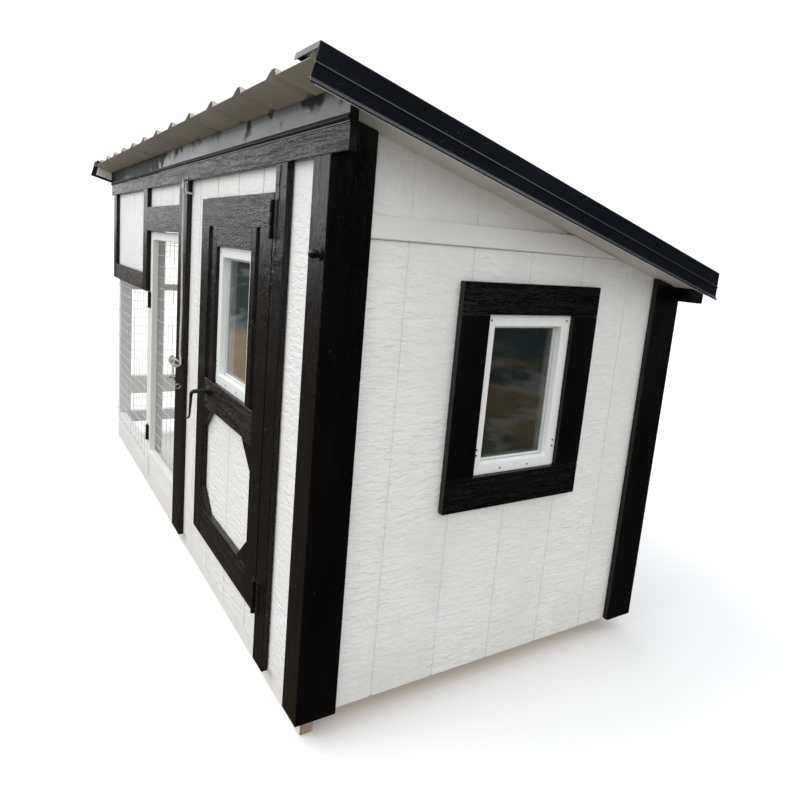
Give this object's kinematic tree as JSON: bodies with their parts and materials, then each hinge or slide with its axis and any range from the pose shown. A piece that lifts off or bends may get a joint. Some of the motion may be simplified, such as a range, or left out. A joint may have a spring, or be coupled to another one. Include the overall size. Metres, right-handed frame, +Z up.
{
  "type": "chicken coop",
  "caption": "Small wooden hen house with an attached wire run under one lean-to ribbed metal roof, with a glazed keeper's door, a mesh run door and an end window.",
  "frame": {"origin": "on the ground, at the middle of the footprint", "axes": "+Z up; the long wall with both doors faces -Y and the roof falls towards +Y; +X runs along the ridge side from the run towards the windowed end wall"},
  "size_m": [3.012, 1.4092, 1.631],
  "materials": {
    "black_board": "gloss paint over wood grain",
    "white_siding": "satin paint over embossed grain",
    "white_board": "satin paint",
    "timber": "sawn",
    "roof_metal": "coated sheet",
    "black_metal": "gloss",
    "galvanised": "galvanised",
    "vinyl": "semi-gloss",
    "glass": "clear",
    "rope": "braided"
  },
  "bodies": {
    "coop": {"skids": "timber", "coop_floor": "timber", "run_sill": "white_board", "front_wall_frame": "timber", "back_wall_frame": "timber", "coop_end_frame": "timber", "run_end_frame": "white_board", "partition_panel": "white_board", "roof_framing": "timber", "roof_sheets": "roof_metal", "roof_screws": "galvanised", "rake_boards": "black_board", "rake_trims": "black_metal", "fly_boards": "white_board", "soffit_boards": "white_board", "header_boards": "black_board", "eave_fascia": "black_metal", "end_siding": "white_siding", "gable_siding": "white_siding", "gable_band": "white_board", "front_siding_coop": "white_siding", "front_siding_run": "white_siding", "back_siding": "white_siding", "corner_boards_near": "black_board", "corner_boards_far": "black_board", "door_jamb_board": "black_board", "rope_post_board": "black_board", "run_header_trim": "black_board", "bay_trim_boards": "black_board", "back_trim_boards": "black_board", "end_window_frame": "vinyl", "end_window_glass": "glass", "end_window_trim": "black_board", "fixed_hinge_leaves": "black_metal", "front_bay_mesh": "galvanised", "rear_run_mesh": "galvanised", "pulley_bracket": "galvanised", "rope": "rope", "rope_cleat": "black_metal", "tie_ring": "galvanised", "door_stop_peg": "black_metal", "pop_door_tracks": "galvanised", "roost_bars": "timber", "nest_boxes": "timber"},
    "door": {"door_panel": "white_siding", "door_stiles": "black_board", "door_rails": "black_board", "door_filler_boards": "black_board", "door_window_frame": "vinyl", "door_window_glass": "glass", "door_hinge_leaves": "black_metal", "handle_rose": "black_metal"},
    "handle": {"handle_lever": "black_metal"},
    "run_door": {"run_door_frame": "white_board", "run_door_mesh": "galvanised", "run_door_hinge_leaves": "black_metal", "run_door_latch_body": "galvanised"},
    "latch_bolt": {"run_door_latch_bolt": "galvanised"},
    "pop_door": {"pop_door": "white_board"},
    "pulley": {"pulley_sheave": "galvanised"}
  },
  "joints": [
    {"name": "door_swing", "type": "hinge", "parent": "coop", "child": "door", "pos_m": [1.082, -0.649, 0.78], "axis": [0, 0, 1], "range_deg": [0, 110]},
    {"name": "handle_turn", "type": "hinge", "parent": "door", "child": "handle", "pos_m": [0.569, -0.65, 0.735], "axis": [0, 1, 0], "range_deg": [0, 90]},
    {"name": "run_door_swing", "type": "hinge", "parent": "coop", "child": "run_door", "pos_m": [-0.464, -0.63, 0.7], "axis": [0, 0, -1], "range_deg": [0, 110]},
    {"name": "latch_slide", "type": "slide", "parent": "run_door", "child": "latch_bolt", "axis": [1, 0, 0], "range_m": [0, 0.022]},
    {"name": "pop_door_lift", "type": "slide", "parent": "coop", "child": "pop_door", "axis": [0, 0, 1], "range_m": [0, 0.3]},
    {"name": "pulley_turn", "type": "hinge", "parent": "coop", "child": "pulley", "pos_m": [0.234, -0.653, 1.43], "axis": [0, -1, 0], "range_deg": [0, 1440]}
  ],
  "couplings": [
    {"joint": "pulley_turn", "follows": "pop_door_lift", "rad_per_m": 83.333}
  ]
}
